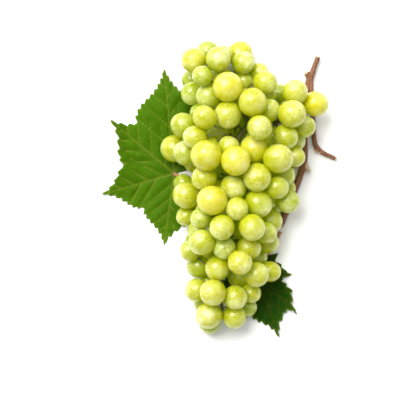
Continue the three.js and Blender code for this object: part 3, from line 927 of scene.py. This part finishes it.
def cut_marks(mesh, ends):
    """How much each point is raw wood at a cut end, and how much it is pith, from 0 to 1."""
    cut = np.zeros(len(mesh.vertices))
    pith = np.zeros(len(mesh.vertices))
    for i, vertex in enumerate(mesh.vertices):
        for centre, outward in ends:
            off = vertex.co - centre
            depth = -off.dot(outward)
            across = (off + outward * depth).length
            if across < CUT_REACH and depth < CUT_DEPTH:
                cut[i] = 1.0 if depth < CUT_CLEAR_DEPTH else 0.3
                pith[i] = max(0.0, 1 - across / PITH_RADIUS)
    return cut, pith


def furrow_bark(mesh, cut, depth):
    """Raises and sinks the bark in long furrows, and leaves the cut wood as it is."""
    for i, vertex in enumerate(mesh.vertices):
        place = vertex.co
        fibre = Vector((place.x * FURROWS_ACROSS, place.y * FURROWS_ALONG, place.z * FURROWS_ACROSS))
        ridge = noise.noise(fibre) + FINE_SHARE * noise.noise(fibre * FINE_FURROWS)
        vertex.co = place + vertex.normal * depth * ridge * (1 - cut[i])


class OBJECT_OT_grape_cane(bpy.types.Operator):
    """Make the forked piece of woody cane"""

    bl_idname = "object.grape_cane"
    bl_label = "Cane"

    def execute(self, context):
        look = settings(context).cane
        rough = welded_copy("cane", "cane_rough")
        ends = cut_ends(rough)
        rounded_limbs(rough, 0.0, look.voxel, 4, 1.0)
        cane = settle(rough, "cane_bark")
        cut, pith = cut_marks(cane.data, ends)
        furrow_bark(cane.data, cut, look.furrow)
        set_attribute(cane.data, "cut", cut)
        set_attribute(cane.data, "pith", pith)
        paint(cane, cane_material(look))
        finish_piece(cane, "cane", "cane")
        return {"FINISHED"}


# Leaves --------------------


def lobe_reach(off, wide):
    """The share of its length that a lobe reaches at an angle off its own vein: a tip on broad shoulders."""
    t = np.abs(off) / wide
    reach = 1 - SHOULDER_DROP * (1 - np.exp(-t / TIP_WIDTH)) - FLANK_DROP * t**4
    return np.where(t < LOBE_END, reach, 0.0)


def smooth_outline(plan):
    """The blade's outline without its teeth, as dense points in mm around the junction at 0, 0."""
    bearing = np.arange(0, 360, 0.1)
    reach = np.full(bearing.shape, HUB_REACH)
    for at, long, wide in plan["lobes"]:
        off = (bearing - at + 180) % 360 - 180
        reach = np.maximum(reach, long * lobe_reach(off, wide))
    turn = np.radians(bearing)
    return np.stack([reach * np.cos(turn), reach * np.sin(turn)], axis=1)


def unit(degrees):
    """The direction of a bearing, of length 1."""
    return np.array([math.cos(math.radians(degrees)), math.sin(math.radians(degrees))])


def blade_outline(plan):
    """The blade's outline with forward-leaning teeth, as evenly spaced points in mm around the junction."""
    dense = smooth_outline(plan)
    closed = np.vstack([dense, dense[:1]])
    way = np.concatenate([[0.0], np.cumsum(np.linalg.norm(np.diff(closed, axis=0), axis=1))])
    places = np.arange(0, way[-1] - 0.5 * OUTLINE_STEP, OUTLINE_STEP)
    edge = np.stack([np.interp(places, way, closed[:, axis]) for axis in (0, 1)], axis=1)
    ahead = np.roll(edge, -2, axis=0) - np.roll(edge, 2, axis=0)
    ahead /= np.linalg.norm(ahead, axis=1)[:, None]
    inward = np.stack([-ahead[:, 1], ahead[:, 0]], axis=1)
    out = np.linalg.norm(edge, axis=1)
    outwards = np.sign(np.roll(out, -6) - np.roll(out, 6))
    pitch = TOOTH_PITCH * (1 + 0.25 * np.sin(places / 23.0))
    phase = np.cumsum(OUTLINE_STEP / pitch) % 1
    phase = np.where(outwards > 0, phase, 1 - phase)
    tooth = np.where(phase < TOOTH_LEAN, phase / TOOTH_LEAN, (1 - phase) / (1 - TOOTH_LEAN))
    tips = np.array([long * unit(at) for at, long, _ in plan["lobes"]])
    to_tip = np.linalg.norm(edge[:, None] - tips, axis=2).min(axis=1)
    depth = TOOTH_DEPTH * np.clip((out - 8) / 14, 0, 1) * np.clip(to_tip / 7, 0.15, 1) * (1 - tooth**0.8)
    return edge + inward * depth[:, None]


def vein_lines(plan):
    """Each vein as its start and end, in mm from the junction at 0, 0, and its half width at each."""
    lines = []
    for at, long, _ in plan["lobes"]:
        ahead = unit(at)
        lines.append((np.zeros(2), ahead * long * 0.97, *MAIN_HALF_WIDTHS))
        for i, along in enumerate(SIDE_VEINS):
            side = 1 if i % 2 else -1
            start = ahead * long * along
            reach = long * (1 - along) * 0.5 + 4
            lines.append((start, start + unit(at + side * SIDE_VEIN_ANGLE) * reach, *SIDE_HALF_WIDTHS))
    return lines


def vein_field(plan, flat):
    """How much each point is on a vein, from 0 to 1, and its distance in mm from the nearest vein."""
    mask = np.zeros(len(flat))
    nearest = np.full(len(flat), 1e3)
    for start, end, wide, narrow in vein_lines(plan):
        run = end - start
        t = np.clip((flat - start) @ run / (run @ run), 0, 1)
        away = np.linalg.norm(flat - start - t[:, None] * run, axis=1)
        half = wide + (narrow - wide) * t
        mask = np.maximum(mask, np.exp(-((away / half) ** 2)))
        nearest = np.minimum(nearest, away)
    return mask, nearest


def blade_points(outline):
    """The outline's points, then a triangular grid of points inside it, and the faces between them."""
    low, high = outline.min(axis=0), outline.max(axis=0)
    rows = np.arange(low[1], high[1], GRID_STEP * 0.866)
    columns = np.arange(low[0], high[0], GRID_STEP)
    grid = [(x + (i % 2) * GRID_STEP / 2, y) for i, y in enumerate(rows) for x in columns]
    around = [Vector(point) for point in outline]
    inner = [Vector(point) for point in grid]
    ring = list(range(len(around)))
    made = geometry.delaunay_2d_cdt(around + inner, [], [ring], 1, 1e-4)
    return np.array([tuple(point) for point in made[0]]), made[2]


def edge_distance(flat, outline):
    """Distance in mm from each point to the outline's nearest point."""
    tree = kdtree.KDTree(len(outline))
    for i, (x, y) in enumerate(outline):
        tree.insert((x, y, 0.0), i)
    tree.balance()
    return np.array([tree.find((x, y, 0.0))[2] for x, y in flat])


def blade_mesh(name, plan, look):
    """The blade, with its veins sunk, the skin puckered between them and its edge gently waved."""
    outline = blade_outline(plan)
    flat, faces = blade_points(outline)
    inset = edge_distance(flat, outline)
    out = np.linalg.norm(flat, axis=1)
    turn = np.arctan2(flat[:, 1], flat[:, 0])
    mask, nearest = vein_field(plan, flat)
    along = flat @ unit(plan["axis"])
    lift = plan["curl"] * np.clip(along / CURL_REACH, 0, 1) ** 2
    between = (1 - np.exp(-((nearest / PUCKER_REACH) ** 2))) * (1 - np.exp(-inset / PUCKER_REACH))
    relief = look.pucker / MM * between - look.groove / MM * mask
    wave = look.wave / MM * np.exp(-inset / WAVE_REACH) * np.sin(WAVE_COUNT * turn + 0.12 * out + 0.7)
    free = np.clip(along / 30 + 0.2, 0, 1)
    height = BLADE_BASE + lift + relief + np.maximum(wave * free, -0.8 * lift)
    corner = np.array(plan["junction"]) + np.array(DRAWING_ORIGIN[:2])
    places = np.column_stack([flat + corner, np.maximum(height, BLADE_BASE)]) * MM
    blade = mesh_object(name, places, faces)
    set_attribute(blade.data, "vein", mask)
    set_attribute(blade.data, "rim", np.exp(-inset / RIM_REACH))
    return blade


def petiole_tree(material):
    """Geometry nodes that give a path a round skin, thicker towards both ends."""
    tree, t, given = surface_group("Petiole", "Radius")
    line = t.add("GeometryNodeResampleCurve", {"Curve": given["Geometry"], "Count": 60}).outputs[0]
    way = t.add("GeometryNodeSplineParameter").outputs["Factor"]
    from_middle = t.math("ABSOLUTE", t.math("SUBTRACT", t.math("MULTIPLY", way, 2.0), 1.0))
    swelling = t.math("ADD", 1.0, t.math("MULTIPLY", t.math("POWER", from_middle, 8.0), 0.45))
    radius = t.math("MULTIPLY", given["Radius"], swelling)
    sized = t.add("GeometryNodeSetCurveRadius", {"Curve": line, "Radius": radius}).outputs[0]
    ring = t.add("GeometryNodeCurvePrimitiveCircle", {"Resolution": 14, "Radius": 1.0}).outputs[0]
    width = t.add("GeometryNodeInputRadius").outputs[0]
    inputs = {"Curve": sized, "Profile Curve": ring, "Scale": width, "Fill Caps": True}
    skin = t.add("GeometryNodeCurveToMesh", inputs).outputs[0]
    hand_out(t, t.add("GeometryNodeRealizeInstances", {0: skin}).outputs[0], material)
    return tree


def petiole_piece(name, plan, tree, radius):
    """A leaf's stem, through its places in the drawing."""
    path = bpy.data.curves.new(name, "CURVE")
    path.dimensions = "3D"
    spline = path.splines.new("BEZIER")
    stops = plan["petiole"]
    spline.bezier_points.add(len(stops) - 1)
    for point, stop in zip(spline.bezier_points, stops):
        point.co = (Vector(stop) + DRAWING_ORIGIN) * MM
        point.handle_left_type = "AUTO"
        point.handle_right_type = "AUTO"
    obj = show(bpy.data.objects.new(name, path))
    run_tree(obj, tree, radius=radius)
    return settle(obj, name)


def join_meshes(name, *parts):
    """One object from several, with the materials of all."""
    with bpy.context.temp_override(active_object=parts[0], selected_editable_objects=list(parts)):
        bpy.ops.object.join()
    parts[0].name = name
    parts[0].data.name = name
    return parts[0]


def lay_on_table(obj):
    """Presses flat whatever would reach below the table."""
    for vertex in obj.data.vertices:
        vertex.co.z = max(vertex.co.z, TABLE_GAP)


class OBJECT_OT_grape_leaves(bpy.types.Operator):
    """Make the two lobed leaves with their petioles"""

    bl_idname = "object.grape_leaves"
    bl_label = "Leaves"

    def execute(self, context):
        look = settings(context).leaves
        tree = petiole_tree(petiole_material(look))
        # The leaf under the bunch's tail gets a darker green as painted shade.
        greens = {"leaf_left": look.large_blade, "leaf_lower": look.small_blade}
        for node_name, plan in LEAF_PLANS.items():
            blade = blade_mesh(f"{node_name}_flat", plan, look)
            skin = blade_material(f"{node_name} blade", look, greens[node_name], VEIN_TONE_AND_PAINTED_SHADE[node_name])
            blade.data.materials.append(skin)
            solid = blade.modifiers.new("thickness", "SOLIDIFY")
            solid.thickness = look.thickness
            solid.offset = -1
            blade = settle(blade, f"{node_name}_blade")
            stem = petiole_piece(f"{node_name}_petiole", plan, tree, look.petiole_radius)
            leaf = join_meshes(f"{node_name}_blade", blade, stem)
            lay_on_table(leaf)
            finish_piece(leaf, "leaf", node_name)
        return {"FINISHED"}


# Stage --------------------


def white_table(look):
    """A wide square in the plane z = 0."""
    corners = [(-TABLE_HALF, -TABLE_HALF, 0), (TABLE_HALF, -TABLE_HALF, 0)]
    corners += [(TABLE_HALF, TABLE_HALF, 0), (-TABLE_HALF, TABLE_HALF, 0)]
    table = mesh_object("table", corners, [(0, 1, 2, 3)], smooth=False)
    table.data.materials.append(table_material(look))
    return table


def add_light(name, kind, power, place):
    """A light at a place, turned to the bunch."""
    light = bpy.data.lights.new(name, kind)
    light.energy = power
    obj = show(bpy.data.objects.new(name, light))
    obj.location = place
    obj.rotation_euler = (Vector(LIT_POINT) - Vector(place)).to_track_quat("-Z", "Y").to_euler()
    return light


def overhead_camera(look):
    """A camera that looks straight down."""
    camera = bpy.data.cameras.new("camera")
    camera.lens = look.lens
    camera.sensor_width = SENSOR_WIDTH
    camera.clip_end = VIEW_END
    obj = show(bpy.data.objects.new("camera", camera))
    x, y = CAMERA_PLACE
    obj.location = ((x + DRAWING_ORIGIN.x) * MM, (y + DRAWING_ORIGIN.y) * MM, look.height)
    return obj


def studio_sky(strength):
    """An even white room, which is seen as bright as the table."""
    world = bpy.data.worlds.new("studio")
    world.use_nodes = True
    t = Tree(world.node_tree)
    seen = t.add("ShaderNodeLightPath").outputs["Is Camera Ray"]
    light = t.span(seen, 0.0, 1.0, strength, 1.0)
    sky = t.add("ShaderNodeBackground", {"Color": (1, 1, 1, 1), "Strength": light})
    t.add("ShaderNodeOutputWorld", {"Surface": sky.outputs[0]})
    return world


class OBJECT_OT_grape_stage(bpy.types.Operator):
    """Make the table, the lights and the camera"""

    bl_idname = "object.grape_stage"
    bl_label = "Stage"

    def execute(self, context):
        look = settings(context).stage
        table = white_table(look)
        add_light("key", "SUN", look.key_power, KEY_PLACE).angle = math.radians(look.key_width)
        add_light("fill", "AREA", look.fill_power, FILL_PLACE).size = FILL_SIZE
        context.scene.world = studio_sky(look.sky)
        context.scene.camera = overhead_camera(look)
        context.scene.view_settings.view_transform = "Standard"
        return {"FINISHED"}


# Add-on --------------------


class GrapeSettings(bpy.types.PropertyGroup):
    """All settings of the bunch."""

    berries: bpy.props.PointerProperty(type=GrapeBerrySettings)
    stalk: bpy.props.PointerProperty(type=GrapeStalkSettings)
    cane: bpy.props.PointerProperty(type=GrapeCaneSettings)
    leaves: bpy.props.PointerProperty(type=GrapeLeafSettings)
    stage: bpy.props.PointerProperty(type=GrapeStageSettings)


OPERATORS = (
    OBJECT_OT_grape_berries,
    OBJECT_OT_grape_stalk,
    OBJECT_OT_grape_cane,
    OBJECT_OT_grape_leaves,
    OBJECT_OT_grape_stage,
)


class VIEW3D_PT_grapes(bpy.types.Panel):
    """The bunch's pieces and their settings"""

    bl_label = "Bunch of Grapes"
    bl_idname = "VIEW3D_PT_grapes"
    bl_space_type = "VIEW_3D"
    bl_region_type = "UI"
    bl_category = "Grapes"

    def draw(self, context):
        groups = settings(context)
        for operator, name in zip(OPERATORS, ("berries", "stalk", "cane", "leaves", "stage")):
            box = self.layout.box()
            box.operator(operator.bl_idname)
            group = getattr(groups, name)
            for key in group.__annotations__:
                box.prop(group, key)


CLASSES = (
    GrapeBerrySettings,
    GrapeStalkSettings,
    GrapeCaneSettings,
    GrapeLeafSettings,
    GrapeStageSettings,
    GrapeSettings,
    *OPERATORS,
    VIEW3D_PT_grapes,
)


def register():
    for cls in CLASSES:
        bpy.utils.register_class(cls)
    bpy.types.Scene.grapes = bpy.props.PointerProperty(type=GrapeSettings)


def unregister():
    del bpy.types.Scene.grapes
    for cls in reversed(CLASSES):
        bpy.utils.unregister_class(cls)


def main():
    register()
    bpy.ops.object.grape_berries()
    bpy.ops.object.grape_stalk()
    bpy.ops.object.grape_cane()
    bpy.ops.object.grape_leaves()
    bpy.ops.object.grape_stage()


if __name__ == "__main__":
    main()
